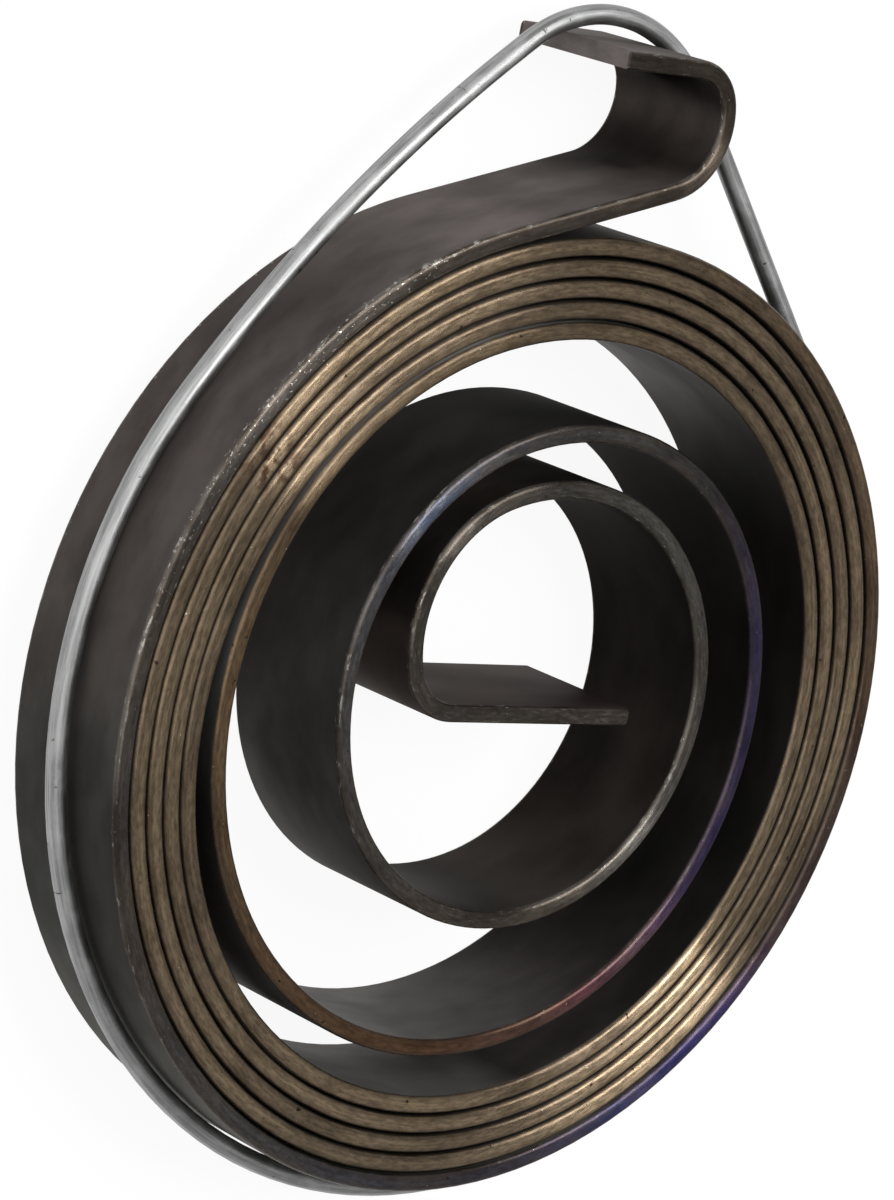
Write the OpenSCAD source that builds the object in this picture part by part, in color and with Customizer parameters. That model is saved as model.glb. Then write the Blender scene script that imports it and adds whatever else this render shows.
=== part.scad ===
// Return spring of a drill press quill: a flat spiral of spring steel strip, kept wound by
// a loop of wire round its rim and its outer hook. The spring lies on its side, as it comes
// to rest: the coil axis is Z and the lower strip edges are on Z = 0. The origin is the
// centre of the first turn, which starts on +Y, next to the hook.

/* [Strip] */
// Width of the strip, along the coil axis
strip_width = 8; // [5:0.5:12]
// Thickness of the strip
strip_thick = 0.9; // [0.6:0.05:1.1]
// Rounding of the strip's long edges
edge_round = 0.25; // [0.1:0.05:0.25]

/* [Close turns] */
// Centreline radius of the first quarter turn, next to the hook
coil_radius = 24.15; // [22:0.05:28]
// Number of turns that lie close together
close_turns = 5; // [3:1:6]
// Mean gap between the close turns
turn_gap = 0.12; // [0.12:0.01:0.2]
// How much wider the gap is at the right of the coil, and narrower at the left
gap_lean = 0.06; // [0:0.01:0.06]
// How much wider the gap is at the bottom of the coil, and narrower at the top
gap_drop = 0.02; // [0:0.01:0.04]

/* [Open turns] */
// Radius lost at the top, left, bottom and right of the open turn
open_loss = [1.15, 0.65, 1.35, 2.15]; // [0:0.05:3]
// Radius lost at the top, left, bottom and right of the eye turn
eye_loss = [1.75, 0.2, 1.5, -0.7]; // [-1:0.05:3]
// Radius lost at the top of the eye, before the tang
tang_loss = 4.6; // [3:0.05:5]

/* [Hook] */
// Lead of the coil ahead of +Y, before the straight leg leaves it, in degrees
leg_lead = 3.4; // [0.5:0.1:8]
// Straight leg that leaves the coil
hook_leg = 10.2; // [8:0.1:12]
// Centreline radius of the hook's bend, from the leg to its far side
hook_bend = 3.5; // [3:0.05:4.5]
// Centreline radius of the hook's bend, from its far side to the lip
lip_bend = 2.25; // [1.5:0.05:3]
// Straight lip after the bend
hook_lip = 5; // [2:0.1:6]
// Slope of the lip against the leg, in degrees
lip_slope = 17; // [10:0.1:40]

/* [Tang] */
// Centreline radius of the bend between the eye and the tang
tang_bend = 3; // [2:0.05:4]
// Straight tang that crosses the eye and sits in the slot of the arbor
tang_length = 11.5; // [6:0.1:12]
// Slope of the tang against the X axis, in degrees
tang_slope = 20.6; // [10:0.1:40]

/* [Retaining wire] */
// Thickness of the wire
wire_d = 1; // [0.8:0.1:1.6]
// Clearance of the wire from the strip
wire_gap = 0.06; // [0.04:0.02:0.4]
// Height of the wire above the middle of the strip's width
wire_rise = 0.5; // [-1:0.1:1]
// How far the wire's ring is drawn towards the hook
wire_lift = 0.05; // [0:0.01:0.1]
// Centreline radius of the loop's corner, over the hook
wire_corner = 8; // [7:0.1:9]
// Extra room between the coil and the loop's right run
wire_ease = 0.1; // [0:0.1:1.5]
// Turn of the loop about the coil axis, in degrees
wire_turn = 19; // [18:0.1:22]
// Tilt of the loop, lower over the hook, in degrees
wire_tilt = 2.4; // [0:0.1:2.5]

/* [Hidden] */
$fn = 96;

// Directions from the coil axis to the top, left, bottom and right, where the quarter turns meet
quarter_dirs = [[0, 1], [-1, 0], [0, -1], [1, 0]];

// Radius lost at each meeting of two quarter turns, from the hook to the tang
turn_pitch = strip_thick + turn_gap;
close_loss = [
    turn_pitch / 4 + gap_drop / 2,
    turn_pitch / 4 + gap_lean / 2,
    turn_pitch / 4 - gap_drop / 2,
    turn_pitch / 4 - gap_lean / 2
];
close_quarters = 4 * close_turns;
quarter_loss = concat(
    [0],
    [for (i = [1 : close_quarters - 1]) close_loss[i % 4]],
    open_loss,
    eye_loss,
    [tang_loss]
);
last_quarter = len(quarter_loss) - 1;

// Centreline radius and centre of each quarter turn: it starts where the one before it ends
function quarter_radius(i) = i == 0 ? coil_radius : quarter_radius(i - 1) - quarter_loss[i];
function quarter_centre(i) =
    i == 0 ? [0, 0] : quarter_centre(i - 1) + quarter_loss[i] * quarter_dirs[i % 4];

// Centres of the hook's bend, in the frame of its leg
hook_centre = [hook_leg, coil_radius + hook_bend];
lip_centre = hook_centre + [hook_bend - lip_bend, 0];

tang_centre = quarter_centre(last_quarter) - [quarter_radius(last_quarter) - tang_bend, 0];

// Lengths of the wire loop are rounded up to a hundredth of a millimetre
function hundredth(v) = ceil(v * 100) / 100;

// The shoulder is the wide arc from the loop's top run down to the rim: a long one, or, where that has
// no room beside the corner, a steep one
long_shoulder = [-0.28, 0.96];
steep_shoulder = [-0.6, 0.8];

// The loop lies round the rim of the first turn, clear of it at the shoulder and at the bottom
loop_centre = [-close_loss[1], wire_lift];
loop_height = strip_width / 2 + wire_rise;
wire_room = wire_gap + wire_d / 2;
shoulder_angle = wire_turn + atan2(long_shoulder.y, long_shoulder.x);
shoulder_rim = (coil_radius + strip_thick / 2) * [cos(shoulder_angle), sin(shoulder_angle)];
bottom_rim = quarter_centre(1) - [0, quarter_radius(1) + strip_thick / 2];
loop_radius = hundredth(max(norm(shoulder_rim - loop_centre), norm(bottom_rim - loop_centre)) + wire_room);

// The hook as the turned loop sees it: the centre of its lip's bend and the outer corner of its lip
function turned_back(p, angle) = [
    p.x * cos(angle) + p.y * sin(angle),
    p.y * cos(angle) - p.x * sin(angle)
];
function in_loop(p) = turned_back(turned_back(p, leg_lead) - loop_centre, wire_turn);
lip_normal = [sin(lip_slope), cos(lip_slope)];
lip_along = [-cos(lip_slope), sin(lip_slope)];
lip_corner = lip_centre + (lip_bend + strip_thick / 2) * lip_normal + hook_lip * lip_along;
bend_seen = in_loop(lip_centre);
corner_seen = in_loop(lip_corner);

// The loop's corner stands clear of both
bend_room = lip_bend + strip_thick / 2 + wire_room;
right_run = hundredth(max(loop_radius + wire_ease, bend_seen.x + bend_room));
corner_x = right_run - wire_corner;
function corner_height(p, room) =
    p.y - sqrt(max(pow(wire_corner - room, 2) - pow(max(p.x - corner_x, 0), 2), 0));
corner_y = hundredth(max(corner_height(bend_seen, bend_room), corner_height(corner_seen, wire_room)));
top_run = corner_y + wire_corner;

// Where the shoulder leaves the top run
function shoulder_reach(dir) = (loop_radius - top_run) * dir.x / (1 - dir.y);
shoulder_dir = shoulder_reach(long_shoulder) < corner_x ? long_shoulder : steep_shoulder;
shoulder_radius = (top_run - loop_radius * shoulder_dir.y) / (1 - shoulder_dir.y);
shoulder_centre = (loop_radius - shoulder_radius) * shoulder_dir;

// Lap of the hook's leg into the lead of the coil
leg_lap = 0.0001;

// Section of the strip: across its thickness in X, its width in Y
module strip_section() {
    inner = [strip_thick - 2 * edge_round, strip_width - 2 * edge_round];
    translate([-inner.x / 2, 0])
        square([inner.x, strip_width]);
    translate([-strip_thick / 2, edge_round])
        square([strip_thick, inner.y]);
    for (x = [-inner.x / 2, inner.x / 2], y = [edge_round, strip_width - edge_round])
        translate([x, y])
            circle(r = edge_round);
}

// A bend of strip about the Z axis
module strip_bend(radius, start, turn = 90) {
    rotate_extrude(angle = turn, start = start)
        translate([radius, 0])
            strip_section();
}

// A straight stretch of strip along +Y, which may lap into what it leaves
module strip_straight(length, lap = 0) {
    translate([0, length, 0])
        rotate([90, 0, 0])
            linear_extrude(length + lap)
                strip_section();
}

// A bend about the Z axis, from the X axis, and the straight end after it
module strip_end(radius, turn, length) {
    strip_bend(radius, 0, turn);
    rotate([0, 0, turn])
        translate([radius, 0, 0])
            strip_straight(length);
}

module spring_strip() {
    color("dimgray") {
        // Outer hook
        rotate([0, 0, -leg_lead]) {
            translate(lip_centre)
                strip_end(lip_bend, 90 - lip_slope, hook_lip);
            translate(hook_centre)
                strip_bend(hook_bend, 270);
            translate([0, coil_radius, 0])
                rotate([0, 0, 270])
                    strip_straight(hook_leg, leg_lap);
        }
        // Lead from the leg to the first turn
        strip_bend(coil_radius, 90 - leg_lead, leg_lead);
        // Turns, from the hook inwards
        for (i = [0 : last_quarter])
            translate(quarter_centre(i))
                strip_bend(quarter_radius(i), 90 * ((i + 1) % 4));
        // Inner tang
        translate(tang_centre)
            rotate([0, 0, 180])
                strip_end(tang_bend, 90 - tang_slope, tang_length);
    }
}

// A quarter turn of wire about the Z axis
module wire_quarter(radius, start) {
    rotate_extrude(angle = 90, start = start)
        translate([radius, 0])
            circle(d = wire_d);
}

// One side of the line along which the shoulder meets the rim
module shoulder_side(upper) {
    size = 4 * coil_radius;
    rotate([0, 0, atan2(-shoulder_dir.x, shoulder_dir.y)])
        translate([upper ? 0 : -size, -size / 2, -size / 2])
            cube(size);
}

module retaining_wire() {
    color("silver")
        translate([loop_centre.x, loop_centre.y, loop_height])
            rotate([-wire_tilt, 0, 0])
                rotate([0, 0, wire_turn]) {
                    // Rim of the coil
                    intersection() {
                        wire_quarter(loop_radius, 90);
                        shoulder_side(false);
                    }
                    wire_quarter(loop_radius, 180);
                    translate([0, right_run - loop_radius, 0])
                        wire_quarter(right_run, 270);
                    // Right run, corner over the hook and top run
                    translate([right_run, right_run - loop_radius, 0])
                        rotate([270, 0, 0])
                            cylinder(h = corner_y - right_run + loop_radius, d = wire_d);
                    translate([corner_x, corner_y, 0])
                        wire_quarter(wire_corner, 0);
                    translate([shoulder_centre.x, top_run, 0])
                        rotate([0, 90, 0])
                            cylinder(h = corner_x - shoulder_centre.x, d = wire_d);
                    // Shoulder back to the rim
                    intersection() {
                        translate(shoulder_centre)
                            wire_quarter(shoulder_radius, 90);
                        shoulder_side(true);
                    }
                }
}

spring_strip();
retaining_wire();
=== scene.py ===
import math

import bpy
from mathutils import Matrix, Vector


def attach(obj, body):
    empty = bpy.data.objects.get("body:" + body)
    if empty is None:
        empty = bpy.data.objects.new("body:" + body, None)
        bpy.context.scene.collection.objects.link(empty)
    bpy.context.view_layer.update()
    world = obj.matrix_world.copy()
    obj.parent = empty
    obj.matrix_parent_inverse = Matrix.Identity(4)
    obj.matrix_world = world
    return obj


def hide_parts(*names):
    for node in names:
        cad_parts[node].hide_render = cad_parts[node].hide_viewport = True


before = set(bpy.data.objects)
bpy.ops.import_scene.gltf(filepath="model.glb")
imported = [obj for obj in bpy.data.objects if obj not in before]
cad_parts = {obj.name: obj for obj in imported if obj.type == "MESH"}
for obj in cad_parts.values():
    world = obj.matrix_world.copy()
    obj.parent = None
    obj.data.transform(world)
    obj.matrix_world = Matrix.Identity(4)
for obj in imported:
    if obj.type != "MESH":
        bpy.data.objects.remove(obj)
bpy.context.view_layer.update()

# Spring strip. One length of flat spring steel with round edges, hardened and tempered dark, then
# wound cold: the lip, bend and leg of the hook, the close turns, the open turn, the eye and the
# tang are one strip. It lies on the edges of its turns.
MM = 0.001
strip_width = 8 * MM
strip_thick = 0.9 * MM
edge_round = 0.25 * MM
coil_radius = 24.15 * MM
leg_lead = math.radians(3.4)
hook_leg = 10.2 * MM
hook_bend = 3.5 * MM
lip_bend = 2.25 * MM
hook_lip = 5 * MM
lip_slope = math.radians(17)
tang_bend = 3 * MM
tang_length = 11.5 * MM
tang_slope = math.radians(20.6)
close_loss = [0.265, 0.285, 0.245, 0.225]
turn_losses = [0] + (5 * close_loss)[1:] + [1.15, 0.65, 1.35, 2.15, 1.75, 0.2, 1.5, -0.7, 4.6]
quarter_sides = [Vector((0, 1, 0)), Vector((-1, 0, 0)), Vector((0, -1, 0)), Vector((1, 0, 0))]
AXIS = Vector((0, 0, 1))


def outward(angle):
    return Vector((math.cos(angle), math.sin(angle), 0))


def start_mesh(name):
    obj = bpy.context.object
    obj.name = obj.data.name = name
    return obj


# The blank's end: an upright plate as thick and as wide as the strip, with its corners rounded
lip_angle = math.pi / 2 - lip_slope - leg_lead
lead_angle = -leg_lead
leg_along = outward(lead_angle)
leg_up = outward(lead_angle + math.pi / 2)
hook_centre = hook_leg * leg_along + (coil_radius + hook_bend) * leg_up
lip_centre = hook_centre + (hook_bend - lip_bend) * leg_along
lip_back = outward(lip_angle + math.pi / 2)
lip_end = lip_centre + lip_bend * outward(lip_angle) + hook_lip * lip_back
bpy.ops.object.select_all(action="DESELECT")
bpy.ops.mesh.primitive_plane_add(size=1)
strip = start_mesh("spring_strip_visual")
strip.scale = (strip_thick, strip_width, 1)
bpy.ops.object.transform_apply(scale=True)
bpy.ops.object.mode_set(mode="EDIT")
bpy.ops.mesh.select_all(action="SELECT")
bpy.ops.mesh.bevel(offset=edge_round, offset_pct=0, segments=5, affect="VERTICES")
bpy.ops.object.mode_set(mode="OBJECT")
strip.rotation_euler = (math.pi / 2, 0, lip_angle)
strip.location = lip_end + strip_width / 2 * AXIS
bpy.ops.object.transform_apply(location=True, rotation=True)
section_size = len(strip.data.vertices)

# Each stretch is bent or pushed on from the end of the one before it. The list keeps, for every ring
# of the mesh, how far along the strip it is and how many turns have been wound by then.
lip_turns = 0.03
lip_bend_turns = 0.015
hook_bend_turns = 0.02
leg_turns = 0.055
tang_bend_turns = 0.05
tang_turns = 0.1
hook_turns = lip_turns + lip_bend_turns + hook_bend_turns + leg_turns
lead_turns = leg_lead / math.tau
rings = [(0.0, -hook_turns)]
bpy.ops.object.mode_set(mode="EDIT")
bpy.ops.mesh.select_all(action="SELECT")


def push_on(direction, length, turns):
    bpy.ops.mesh.extrude_region_move(TRANSFORM_OT_translate={"value": length * direction})
    rings.append((rings[-1][0] + length, rings[-1][1] + turns))


def bend_on(centre, radius, angle, turns, step=math.radians(3)):
    steps = max(2, round(abs(angle) / step))
    bpy.ops.mesh.spin(steps=steps, angle=-angle, center=centre, axis=AXIS)
    along, wound = rings[-1]
    for i in range(1, steps + 1):
        rings.append((along + radius * abs(angle) * i / steps, wound + turns * i / steps))


push_on(-lip_back, hook_lip, lip_turns)
bend_on(lip_centre, lip_bend, lip_slope - math.pi / 2, lip_bend_turns, step=math.radians(6))
bend_on(hook_centre, hook_bend, -math.pi / 2, hook_bend_turns, step=math.radians(5))
push_on(-leg_along, hook_leg, leg_turns - lead_turns)
bend_on(Vector(), coil_radius, leg_lead, lead_turns)
radius = coil_radius
centre = Vector()
for i, loss in enumerate(turn_losses):
    radius -= loss * MM
    centre = centre + loss * MM * quarter_sides[i % 4]
    bend_on(centre, radius, math.pi / 2, 0.25)
tang_centre = centre - (radius - tang_bend) * Vector((1, 0, 0))
bend_on(tang_centre, tang_bend, math.pi / 2 - tang_slope, tang_bend_turns, step=math.radians(5))
push_on(outward(-tang_slope), tang_length, tang_turns)
bpy.ops.mesh.select_all(action="SELECT")
bpy.ops.mesh.normals_make_consistent(inside=False)
bpy.ops.object.mode_set(mode="OBJECT")
bpy.ops.object.shade_smooth_by_angle(angle=math.radians(35))

# Where each point lies on the flat strip, for grain and colour that follow the winding
strip.data.attributes.new("strip_place", "FLOAT_VECTOR", "POINT")
strip.data.attributes.new("strip_wound", "FLOAT", "POINT")
strip.data.uv_layers.new(name="strip_uv")
girth = 17.4 * MM
strip_place = strip.data.attributes["strip_place"]
strip_wound = strip.data.attributes["strip_wound"]
strip_uv = strip.data.uv_layers["strip_uv"]
first_ring = [v.co.copy() for v in strip.data.vertices[:section_size]]
first_middle = sum(first_ring, Vector()) / section_size
first_out = outward(lip_angle)
for vertex in strip.data.vertices:
    ring, spot = divmod(vertex.index, section_size)
    along, wound = rings[ring]
    across = (first_ring[spot] - first_middle).dot(first_out)
    strip_place.data[vertex.index].vector = (along, across, vertex.co.z)
    strip_wound.data[vertex.index].value = wound
for face in strip.data.polygons:
    spots = [strip.data.loops[k].vertex_index % section_size for k in face.loop_indices]
    wraps = max(spots) - min(spots) > section_size / 2
    for k, spot in zip(face.loop_indices, spots):
        along = rings[strip.data.loops[k].vertex_index // section_size][0]
        turn = spot + section_size if wraps and spot < section_size / 2 else spot
        strip_uv.data[k].uv = (along, turn / section_size * girth)


def new_finish(name):
    finish = bpy.data.materials.new(name)
    finish.use_nodes = True
    tree = finish.node_tree
    return finish, tree, tree.nodes["Principled BSDF"]


def add_node(tree, kind, inputs=(), **settings):
    node = tree.nodes.new(kind)
    for key, value in settings.items():
        setattr(node, key, value)
    for key, value in dict(inputs).items():
        if isinstance(value, bpy.types.NodeSocket):
            tree.links.new(value, node.inputs[key])
        else:
            node.inputs[key].default_value = value
    return node


def math_of(tree, operation, a, b=0.0, c=0.0):
    return add_node(tree, "ShaderNodeMath", {0: a, 1: b, 2: c}, operation=operation).outputs[0]


def faded(tree, value, low, high, to_low=0.0, to_high=1.0):
    inputs = {"Value": value, "From Min": low, "From Max": high, "To Min": to_low, "To Max": to_high}
    return add_node(tree, "ShaderNodeMapRange", inputs, interpolation_type="SMOOTHSTEP").outputs[0]


def mixed(tree, amount, a, b, way="MIX"):
    a, b = [(*colour, 1) if isinstance(colour, tuple) else colour for colour in (a, b)]
    node = add_node(tree, "ShaderNodeMix", {0: amount, 6: a, 7: b}, data_type="RGBA", blend_type=way)
    return node.outputs[2]


def stretched(tree, place, scale):
    return add_node(tree, "ShaderNodeMapping", {"Vector": place, "Scale": scale}).outputs[0]


def speckle(tree, place, scale, detail=4.0, rough=0.6):
    inputs = {"Vector": place, "Scale": scale, "Detail": detail, "Roughness": rough}
    return add_node(tree, "ShaderNodeTexNoise", inputs).outputs[0]


def faded_linear(tree, value, low, high):
    inputs = {"Value": value, "From Min": low, "From Max": high}
    return add_node(tree, "ShaderNodeMapRange", inputs).outputs[0]


def colour_run(tree, value, stops):
    low, high = stops[0][0], stops[-1][0]
    ramp = add_node(tree, "ShaderNodeValToRGB", {0: faded_linear(tree, value, low, high)})
    band = ramp.color_ramp
    while len(band.elements) < len(stops):
        band.elements.new(0.5)
    for i, (at, _) in enumerate(stops):
        band.elements[i].position = (at - low) / (high - low)
    for element, (_, colour) in zip(band.elements, stops):
        element.color = (*colour, 1)
    return ramp.outputs[0]


def grey_run(tree, value, stops):
    return colour_run(tree, value, [(at, (level, level, level)) for at, level in stops])


# Tempered steel: dark scale on the flats, temper colours from straw to violet on the edges, drawn
# out along the strip, with nicks and with rubbed corners where the strip has been handled. Painted
# light is laid in too: bright patches on the inner flats, fans of painted highlight and painted
# shade towards the sides on the edges, and painted highlights and glints on the corners
grime_and_shade = (0.06, 0.043, 0.03)
brown_bloom = (0.1, 0.076, 0.058)
streak_dark = (0.05, 0.04, 0.03)
grain_dark = (0.045, 0.032, 0.022)
scale_brown = (0.05, 0.041, 0.038)
rust = (0.05, 0.026, 0.016)
nick_dark = (0.035, 0.027, 0.02)
pale_dust = (0.5, 0.47, 0.41)
bare_steel_and_highlight = (0.36, 0.35, 0.32)
stain_place = 0.104
stained_turn = 2.1
temper, tree, steel = new_finish("tempered_strip")
place = add_node(tree, "ShaderNodeAttribute", attribute_name="strip_place").outputs["Vector"]
wound = add_node(tree, "ShaderNodeAttribute", attribute_name="strip_wound").outputs["Fac"]
parts = add_node(tree, "ShaderNodeSeparateXYZ", {0: place})
from_middle = math_of(tree, "ABSOLUTE", math_of(tree, "SUBTRACT", parts.outputs["Z"], strip_width / 2))
off_centre = math_of(tree, "ABSOLUTE", parts.outputs["Y"])
on_edge = faded(tree, from_middle, 3.74 * MM, 3.9 * MM)
on_corner = math_of(tree, "MULTIPLY", faded(tree, from_middle, 3.7 * MM, 3.82 * MM),
                    faded(tree, off_centre, 0.26 * MM, 0.36 * MM))
streaks = speckle(tree, stretched(tree, place, (150, 5000, 5000)), 1.0, 5.0, 0.62)
mottle = speckle(tree, stretched(tree, place, (260, 900, 500)), 1.0, 4.0, 0.6)
bloom = speckle(tree, stretched(tree, place, (70, 100, 160)), 1.0, 3.0, 0.5)
pits = speckle(tree, stretched(tree, place, (1900, 1700, 1700)), 1.0, 2.0, 0.5)
grain = speckle(tree, stretched(tree, place, (1500, 6000, 6000)), 1.0, 3.0, 0.7)
dust = speckle(tree, stretched(tree, place, (4500, 6000, 6000)), 1.0, 2.0, 0.5)
scuffs = speckle(tree, stretched(tree, place, (1300, 4200, 4200)), 1.0, 4.0, 0.7)
edge_colour = colour_run(tree, wound, [
    (-0.12, (0.07, 0.06, 0.052)), (0.0, (0.07, 0.061, 0.054)), (0.12, (0.09, 0.083, 0.077)),
    (0.36, (0.12, 0.115, 0.112)), (0.44, (0.07, 0.08, 0.12)), (0.53, (0.03, 0.04, 0.14)),
    (0.575, (0.036, 0.032, 0.14)), (0.605, (0.06, 0.037, 0.08)), (0.68, (0.1, 0.06, 0.043)),
    (0.76, (0.25, 0.17, 0.105)), (0.95, (0.3, 0.223, 0.142)), (1.2, (0.34, 0.255, 0.163)),
    (4.9, (0.34, 0.253, 0.162)), (5.06, (0.17, 0.125, 0.075)), (5.25, (0.25, 0.158, 0.084)),
    (5.42, (0.17, 0.092, 0.05)), (5.5, (0.14, 0.054, 0.043)), (5.54, (0.13, 0.036, 0.068)),
    (5.58, (0.065, 0.032, 0.08)), (5.63, (0.045, 0.036, 0.12)), (5.77, (0.055, 0.052, 0.13)),
    (5.84, (0.045, 0.045, 0.055)), (5.93, (0.13, 0.128, 0.122)), (6.02, (0.065, 0.068, 0.078)),
    (6.08, (0.07, 0.095, 0.15)), (6.2, (0.115, 0.113, 0.11)), (6.5, (0.095, 0.09, 0.082)),
    (6.59, (0.15, 0.15, 0.14)), (6.68, (0.1, 0.096, 0.089)), (6.83, (0.15, 0.147, 0.138)),
    (7.0, (0.085, 0.08, 0.073)), (7.3, (0.085, 0.078, 0.07)),
])
# The flats' dark scale by turn, with painted light on the inner faces: the bright patches near 4.45, 4.84
# to 4.97, 5.44 and 6.27 turns stand for light falling there
flat_tone_and_painted_light = colour_run(tree, wound, [
    (-0.12, (0.15, 0.13, 0.124)), (-0.094, (0.11, 0.095, 0.09)), (-0.086, (0.028, 0.023, 0.02)),
    (-0.057, (0.018, 0.0148, 0.013)), (-0.042, (0.145, 0.122, 0.115)), (0.05, (0.07, 0.06, 0.057)),
    (0.12, (0.078, 0.066, 0.062)), (0.26, (0.046, 0.047, 0.043)), (0.36, (0.1, 0.099, 0.09)),
    (0.6, (0.05, 0.046, 0.042)), (1.0, (0.022, 0.021, 0.019)), (4.2, (0.022, 0.0215, 0.02)),
    (4.445, (0.17, 0.166, 0.154)), (4.47, (0.08, 0.078, 0.072)), (4.482, (0.009, 0.0088, 0.0082)),
    (4.78, (0.011, 0.0108, 0.01)), (4.835, (0.055, 0.0539, 0.0523)), (4.87, (0.15, 0.147, 0.143)),
    (4.97, (0.27, 0.265, 0.258)), (5.25, (0.018, 0.0178, 0.0165)), (5.44, (0.15, 0.145, 0.136)),
    (5.487, (0.06, 0.0585, 0.0545)), (5.52, (0.035, 0.034, 0.0317)), (5.545, (0.009, 0.0088, 0.0082)),
    (6.12, (0.013, 0.0128, 0.0122)), (6.2, (0.046, 0.0455, 0.0432)), (6.265, (0.105, 0.1035, 0.0985)),
    (6.46, (0.02, 0.0167, 0.0145)), (6.7, (0.01, 0.0083, 0.0072)), (7.18, (0.01, 0.0083, 0.0072)),
    (7.22, (0.06, 0.046, 0.041)), (7.3, (0.06, 0.046, 0.041)),
])
edge_toned = mixed(tree, faded(tree, mottle, 0.42, 0.72, 0.0, 0.5), edge_colour, grime_and_shade)
edge_toned = mixed(tree, faded(tree, bloom, 0.42, 0.66, 0.0, 0.5), edge_toned, brown_bloom)
edge_toned = mixed(tree, faded(tree, streaks, 0.32, 0.62, 0.4, 0.0), edge_toned, streak_dark)
edge_toned = mixed(tree, faded(tree, grain, 0.36, 0.6, 0.3, 0.0), edge_toned, grain_dark)
edge_toned = mixed(tree, 1.0, edge_toned, faded(tree, mottle, 0.3, 0.7, 0.64, 1.36), "MULTIPLY")
edge_toned = mixed(tree, 1.0, edge_toned, faded(tree, grain, 0.3, 0.7, 0.86, 1.14), "MULTIPLY")
in_turn = math_of(tree, "FRACT", wound)
# Painted highlight and shade: along each turn the straw edges are made brighter where the lights' fans
# fall, up to twice as bright near 0.53 to 0.585 of a turn, and darker beside and between the fans
painted_fan_light = grey_run(tree, in_turn, [
    (0.0, 0.5), (0.09, 0.44), (0.106, 0.46), (0.115, 0.34), (0.16, 0.42), (0.2, 0.48), (0.35, 0.56),
    (0.43, 0.6), (0.5, 0.55), (0.53, 0.75), (0.56, 0.95), (0.585, 1), (0.595, 0.32), (0.63, 0.4),
    (0.7, 0.54), (0.76, 0.58), (0.84, 0.46), (1.0, 0.5),
])
straw = math_of(tree, "MULTIPLY", faded(tree, wound, 0.75, 0.95),
                faded(tree, wound, 5.0, 5.15, 1.0, 0.0))
edge_toned = mixed(tree, straw, edge_toned, math_of(tree, "MULTIPLY", painted_fan_light, 2.0), "MULTIPLY")
flat_toned = mixed(tree, faded(tree, bloom, 0.35, 0.7, 0.0, 0.35), flat_tone_and_painted_light, scale_brown)
flat_toned = mixed(tree, 1.0, flat_toned, faded(tree, mottle, 0.3, 0.7, 0.8, 1.2), "MULTIPLY")
# Painted shade: each edge darkens from its middle towards its rounded sides and the gaps between the
# turns
painted_side_shade = faded(tree, off_centre, 0.04 * MM, 0.45 * MM, 0.0, 0.55)
edge_toned = mixed(tree, painted_side_shade, edge_toned, grime_and_shade)
from_stain = math_of(tree, "ABSOLUTE", math_of(tree, "SUBTRACT", in_turn, stain_place))
from_stained = math_of(tree, "ABSOLUTE", math_of(tree, "SUBTRACT", wound, stained_turn))
stain = math_of(tree, "MULTIPLY", faded(tree, from_stain, 0.004, 0.014, 1.0, 0.0),
                faded(tree, from_stained, 0.9, 1.2, 1.0, 0.0))
stain = math_of(tree, "MULTIPLY", stain, faded(tree, pits, 0.42, 0.6))
edge_toned = mixed(tree, stain, edge_toned, rust)
toned = mixed(tree, on_edge, flat_toned, edge_toned)
nicked = math_of(tree, "MULTIPLY", on_edge, faded(tree, pits, 0.72, 0.78))
toned = mixed(tree, nicked, toned, nick_dark)
flecks = math_of(tree, "MULTIPLY", on_edge, faded(tree, dust, 0.74, 0.78))
toned = mixed(tree, flecks, toned, pale_dust)
wear_and_highlight_amount = grey_run(tree, wound, [
    (-0.12, 0.8), (0.0, 1), (0.2, 0.8), (0.3, 0.4), (0.45, 0.15), (5.9, 0.15), (6.02, 0.6), (7.3, 0.7),
])
# Rubbed corners with painted highlight: scuffs of bare steel and a soft lighter painted highlight line
# along the corners, and worn scuffs on the eye's edges
rub_and_highlight = math_of(tree, "MULTIPLY", on_corner, math_of(tree, "MAXIMUM", faded(tree, scuffs, 0.55, 0.68),
                                                   faded(tree, mottle, 0.4, 0.65, 0.0, 0.22)))
# Painted glints: bright specks on the outer half of the first turn's edge
glints = math_of(tree, "MULTIPLY", faded(tree, wound, 0.0, 0.03), faded(tree, wound, 0.13, 0.2, 1.0, 0.0))
glints = math_of(tree, "MULTIPLY", glints, faded(tree, dust, 0.62, 0.7))
glints = math_of(tree, "MULTIPLY", faded(tree, from_middle, 3.6 * MM, 3.75 * MM), glints)
rub_and_highlight = math_of(tree, "MAXIMUM", rub_and_highlight, glints)
worn_eye = math_of(tree, "MULTIPLY", faded(tree, wound, 5.95, 6.05),
                   faded(tree, scuffs, 0.5, 0.75, 0.0, 0.4))
rub_and_highlight = math_of(tree, "MAXIMUM", rub_and_highlight, math_of(tree, "MULTIPLY", on_edge, worn_eye))
rub_and_highlight = math_of(tree, "MULTIPLY", rub_and_highlight, wear_and_highlight_amount)
tree.links.new(mixed(tree, rub_and_highlight, toned, bare_steel_and_highlight), steel.inputs["Base Color"])
steel.inputs["Metallic"].default_value = 1
steel.inputs["Specular Tint"].default_value = (0.9, 0.885, 0.87, 1)
steel.inputs["Anisotropic"].default_value = 1
steel.inputs["Anisotropic Rotation"].default_value = 0.25
tree.links.new(add_node(tree, "ShaderNodeTangent", direction_type="UV_MAP", uv_map="strip_uv").outputs[0],
               steel.inputs["Tangent"])
rough_edge = faded(tree, mottle, 0.3, 0.7, 0.22, 0.28)
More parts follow.
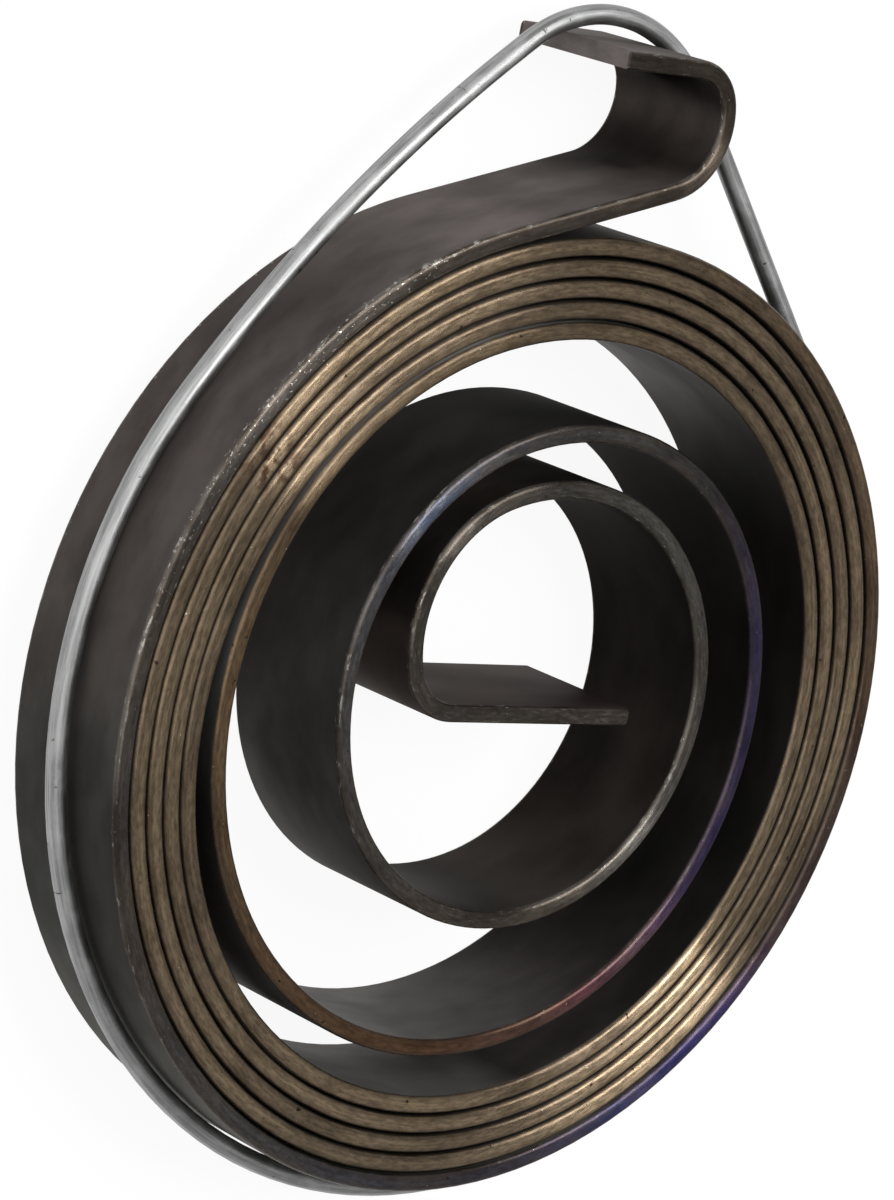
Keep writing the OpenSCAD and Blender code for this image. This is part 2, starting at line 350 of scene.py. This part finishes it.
scaled = grey_run(tree, wound, [
    (-0.12, 0.4), (-0.09, 0.4), (-0.08, 0.66), (-0.056, 0.6), (-0.045, 0.4), (4.46, 0.4), (4.485, 0.66),
    (4.78, 0.6), (4.82, 0.38), (5.03, 0.4), (5.51, 0.4), (5.55, 0.66), (6.22, 0.62), (6.3, 0.42),
    (6.55, 0.45), (6.65, 0.65), (7.18, 0.6), (7.22, 0.42), (7.3, 0.42),
])
rough_flat = math_of(tree, "ADD", scaled, faded(tree, bloom, 0.3, 0.7, 0.0, 0.08))
rough = add_node(tree, "ShaderNodeMix", {0: on_edge, 2: rough_flat, 3: rough_edge}, data_type="FLOAT")
tree.links.new(rough.outputs[0], steel.inputs["Roughness"])
relief = math_of(tree, "SUBTRACT", math_of(tree, "MULTIPLY", streaks, 0.5), nicked)
bump = add_node(tree, "ShaderNodeBump", {"Strength": 0.12, "Distance": 0.03 * MM, "Height": relief})
tree.links.new(bump.outputs[0], steel.inputs["Normal"])
strip.data.materials.append(temper)
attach(strip, "root")
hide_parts("spring_strip")

# Retaining wire. A loop of soft galvanised wire that keeps the spring wound: it lies round the rim and
# is pulled up over the lip of the hook, a little lower there than at the bottom.
wire_thick = 1 * MM
wire_centre = Vector((-0.285 * MM, 0.05 * MM, 4.5 * MM))
wire_turn = math.radians(19)
wire_tilt = math.radians(2.4)
loop_radius = 24.96 * MM
right_run = 25.06 * MM
wire_corner = 8 * MM
corner_y = 19.21 * MM
corner_x = right_run - wire_corner
top_run = corner_y + wire_corner
shoulder_side = Vector((-0.28, 0.96, 0))
shoulder_radius = (top_run - loop_radius * shoulder_side.y) / (1 - shoulder_side.y)
shoulder_centre = (loop_radius - shoulder_radius) * shoulder_side
shoulder_turn = math.atan2(-shoulder_side.x, shoulder_side.y)
bpy.ops.object.select_all(action="DESELECT")
bpy.ops.mesh.primitive_circle_add(vertices=20, radius=wire_thick / 2, fill_type="NOTHING",
                                  location=(-loop_radius, 0, 0), rotation=(math.pi / 2, 0, 0))
wire = start_mesh("retaining_wire_visual")
bpy.ops.object.transform_apply(location=True, rotation=True)
section_size = len(wire.data.vertices)
rings = [(0.0, 0.0)]
bpy.ops.object.mode_set(mode="EDIT")
bpy.ops.mesh.select_all(action="SELECT")
bend_on(Vector(), loop_radius, math.pi / 2, 0)
bend_on(Vector((0, right_run - loop_radius, 0)), right_run, math.pi / 2, 0)
push_on(Vector((0, 1, 0)), corner_y - right_run + loop_radius, 0)
bend_on(Vector((corner_x, corner_y, 0)), wire_corner, math.pi / 2, 0)
push_on(Vector((-1, 0, 0)), corner_x - shoulder_centre.x, 0)
bend_on(shoulder_centre, shoulder_radius, shoulder_turn, 0, step=math.radians(0.5))
bend_on(Vector(), loop_radius, math.pi / 2 - shoulder_turn, 0)
bpy.ops.object.mode_set(mode="OBJECT")
wire_place = wire.data.attributes.new("wire_place", "FLOAT_VECTOR", "POINT")
for vertex in wire.data.vertices:
    ring, spot = divmod(vertex.index, section_size)
    around = 2 * math.pi * spot / section_size
    wire_place.data[vertex.index].vector = (
        rings[ring][0], wire_thick / 2 * math.cos(around), wire_thick / 2 * math.sin(around))
bpy.ops.object.mode_set(mode="EDIT")
bpy.ops.mesh.select_all(action="SELECT")
bpy.ops.mesh.remove_doubles(threshold=0.005 * MM)
bpy.ops.mesh.normals_make_consistent(inside=False)
bpy.ops.object.mode_set(mode="OBJECT")
wire.rotation_euler = (0, 0, wire_turn)
bpy.ops.object.transform_apply(rotation=True)
wire.rotation_euler = (-wire_tilt, 0, 0)
wire.location = wire_centre
bpy.ops.object.transform_apply(location=True, rotation=True)
bpy.ops.object.shade_smooth()

# Galvanised wire: dull zinc with draw lines along it and small nicks
pale_zinc = (0.37, 0.375, 0.37)
line_dark = (0.23, 0.233, 0.23)
bright_patch = (0.46, 0.465, 0.46)
nick_dark = (0.1, 0.098, 0.094)
zinc, tree, metal = new_finish("galvanised_wire")
place = add_node(tree, "ShaderNodeAttribute", attribute_name="wire_place").outputs["Vector"]
lines = speckle(tree, stretched(tree, place, (220, 7000, 7000)), 1.0, 4.0, 0.7)
patches = speckle(tree, stretched(tree, place, (500, 900, 900)), 1.0, 4.0, 0.6)
nicks = faded(tree, speckle(tree, stretched(tree, place, (2600, 1500, 1500)), 1.0, 2.0, 0.5), 0.7, 0.76)
dull = mixed(tree, faded(tree, lines, 0.35, 0.62), pale_zinc, line_dark)
dull = mixed(tree, faded(tree, patches, 0.45, 0.7, 0.0, 0.5), dull, bright_patch)
tree.links.new(mixed(tree, nicks, dull, nick_dark), metal.inputs["Base Color"])
metal.inputs["Metallic"].default_value = 1
tree.links.new(faded(tree, patches, 0.3, 0.7, 0.4, 0.52), metal.inputs["Roughness"])
relief = math_of(tree, "SUBTRACT", math_of(tree, "MULTIPLY", lines, 0.4), nicks)
bump = add_node(tree, "ShaderNodeBump", {"Strength": 0.28, "Distance": 0.04 * MM, "Height": relief})
tree.links.new(bump.outputs[0], metal.inputs["Normal"])
wire.data.materials.append(zinc)
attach(wire, "root")
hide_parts("retaining_wire")

# Table. A plain white sheet that the spring lies on; it shows white to the camera and in the metal,
# and keeps a faint shadow of the spring.
bpy.ops.object.select_all(action="DESELECT")
bpy.ops.mesh.primitive_plane_add(size=4)
table = start_mesh("white_table")
white_share = 0.92
sheet, tree, paint = new_finish("white_sheet")
paint.inputs["Base Color"].default_value = (0.86, 0.86, 0.86, 1)
paint.inputs["Roughness"].default_value = 0.9
paint.inputs["Specular IOR Level"].default_value = 0
glow = add_node(tree, "ShaderNodeEmission", {"Color": (1, 1, 1, 1), "Strength": 1.0})
rays = add_node(tree, "ShaderNodeLightPath")
seen = math_of(tree, "MAXIMUM", rays.outputs["Is Camera Ray"], rays.outputs["Is Glossy Ray"])
seen = math_of(tree, "MAXIMUM", seen, rays.outputs["Is Transmission Ray"])
blend = add_node(tree, "ShaderNodeMixShader", {0: math_of(tree, "MULTIPLY", seen, white_share)})
tree.links.new(paint.outputs[0], blend.inputs[1])
tree.links.new(glow.outputs[0], blend.inputs[2])
tree.links.new(blend.outputs[0], tree.nodes["Material Output"].inputs["Surface"])
table.data.materials.append(sheet)

# Light. A white room, a large soft box on the camera's side and, over the hook's side, five cards in a
# row, each wider than the one before it: the edges of the turns draw them out into bright fans.
room_strength = 0.5
scene = bpy.context.scene
world = bpy.data.worlds.new("white_room")
world.use_nodes = True
world.node_tree.nodes["Background"].inputs["Color"].default_value = (1, 1, 1, 1)
world.node_tree.nodes["Background"].inputs["Strength"].default_value = room_strength
scene.world = world


def soft_box(name, place, side, width, depth, power):
    lamp = bpy.data.lights.new(name, "AREA")
    lamp.shape = "RECTANGLE"
    lamp.size, lamp.size_y, lamp.energy = width, depth, power
    holder = bpy.data.objects.new(name, lamp)
    scene.collection.objects.link(holder)
    back = place.normalized()
    across = back.cross(side).normalized()
    facing = Matrix((across.cross(back), across, back)).transposed()
    holder.matrix_world = Matrix.Translation(place) @ facing.to_4x4()


soft_box("camera_box", Vector((-0.35, 0.35, 0.5)), Vector((0, 0, 1)), 1.0, 1.0, 4.0)
card_way = Vector((0.771, 0.636, 0))
card_depth = 0.24
card_height = 0.5
# Near edge, far edge and power of each card
cards = [(0.095, 0.14, 0.34), (0.14, 0.2, 0.4), (0.2, 0.3, 0.5), (0.3, 0.45, 0.6), (0.45, 0.65, 0.6)]
for number, (near, far, power) in enumerate(cards):
    card_place = (near + far) / 2 * card_way + card_height * AXIS
    soft_box(f"card_{number}", card_place, card_way, far - near, card_depth, power)

# Camera, at the photograph's place over the spring.
camera = bpy.data.cameras.new("camera")
camera.lens, camera.sensor_width = 150, 36
camera.clip_start, camera.clip_end = 0.01, 20
eye = bpy.data.objects.new("camera", camera)
scene.collection.objects.link(eye)
eye.location = (-0.13693, 0.10290, 0.17853)
look_back = Vector((-0.56171, 0.4035, 0.7222)).normalized()
look_right = Vector((0.76686, -0.07384, 0.6376)).normalized()
look_up = look_back.cross(look_right).normalized()
look_right = look_up.cross(look_back)
turned = [[look_right[i], look_up[i], look_back[i]] for i in range(3)]
eye.rotation_euler = Matrix(turned).to_euler()
scene.camera = eye
scene.view_settings.view_transform = "Standard"
